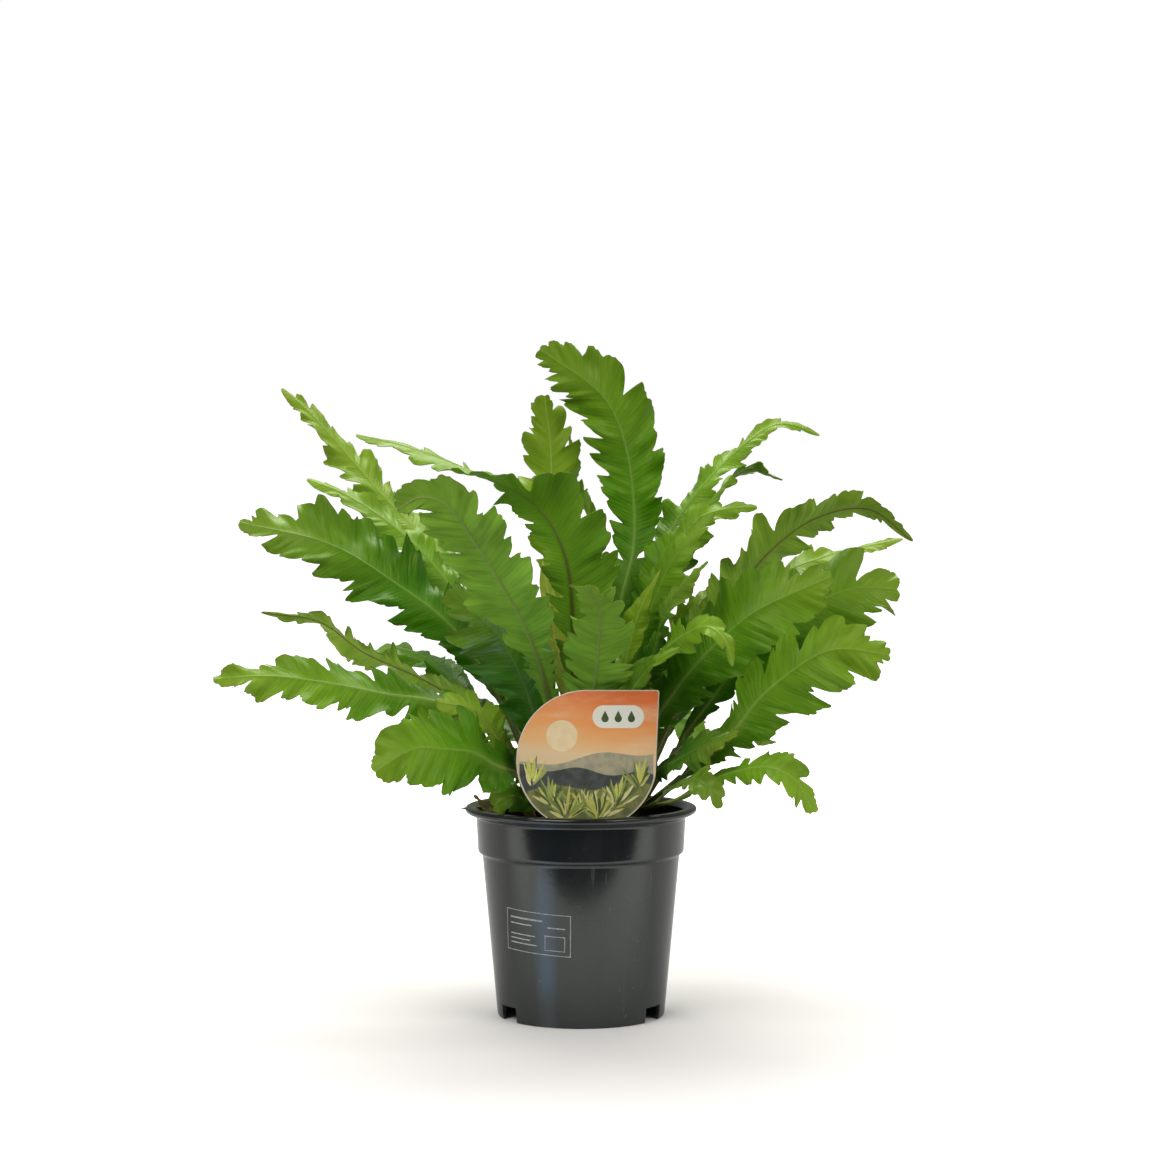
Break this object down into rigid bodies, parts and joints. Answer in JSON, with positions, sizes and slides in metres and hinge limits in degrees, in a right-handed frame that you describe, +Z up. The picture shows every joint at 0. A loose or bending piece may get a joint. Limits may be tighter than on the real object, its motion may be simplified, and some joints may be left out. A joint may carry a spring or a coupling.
{
  "type": "potted fern",
  "caption": "Bird's nest fern with ruffled, deeply cut upright and arching fronds, growing in a tapered black nursery pot with a rolled rim and a round plant label on a spike.",
  "frame": {"origin": "centre of the pot's underside, on the surface that it stands on", "axes": "+Z up along the pot's axis, +X to the viewer's right with the label in front, -Y towards the viewer on the label's side"},
  "size_m": [0.3709, 0.2833, 0.3639],
  "materials": {
    "pot_plastic": "black moulded polypropylene, satin",
    "peat": "moist peat compost, rough and crumbly",
    "crown_scales": "dark brown root mass and scales, rough",
    "label_plastic": "printed thin plastic card, satin",
    "leaf": "leathery green frond, glossy upper side"
  },
  "bodies": {
    "root": {"pot": "pot_plastic", "soil": "peat", "crown": "crown_scales", "plant_label": "label_plastic", "frond_left_low": "leaf", "frond_left_curl": "leaf", "frond_left_big": "leaf", "frond_upper_left": "leaf", "frond_left_light": "leaf", "frond_arch_left": "leaf", "frond_left_centre": "leaf", "frond_dark_glossy": "leaf", "frond_low_left_front": "leaf", "frond_low_left_back": "leaf", "frond_low_dark": "leaf", "frond_upright_left": "leaf", "frond_edge_on": "leaf", "frond_tall_centre": "leaf", "frond_front_centre": "leaf", "frond_upper_right": "leaf", "frond_right_dark": "leaf", "frond_right_fork": "leaf", "frond_mid_right": "leaf", "frond_stem_side": "leaf", "frond_light_strip": "leaf", "frond_right_arch": "leaf", "frond_right_thin": "leaf", "frond_right_big": "leaf", "frond_right_low": "leaf", "frond_right_wide": "leaf", "frond_front_curl": "leaf", "frond_droop_right": "leaf", "frond_low_fingers": "leaf", "frond_low_right": "leaf", "frond_back_right_low": "leaf", "frond_back_right": "leaf", "frond_back_right_high": "leaf", "frond_back_foot_right": "leaf", "frond_back_centre": "leaf", "frond_back_high": "leaf", "frond_back_left_high": "leaf", "frond_back_foot_left": "leaf", "frond_back_left": "leaf", "frond_back_left_low": "leaf", "frond_strip_left": "leaf", "frond_leaflet": "leaf", "frond_light_behind": "leaf"}
  },
  "joints": []
}
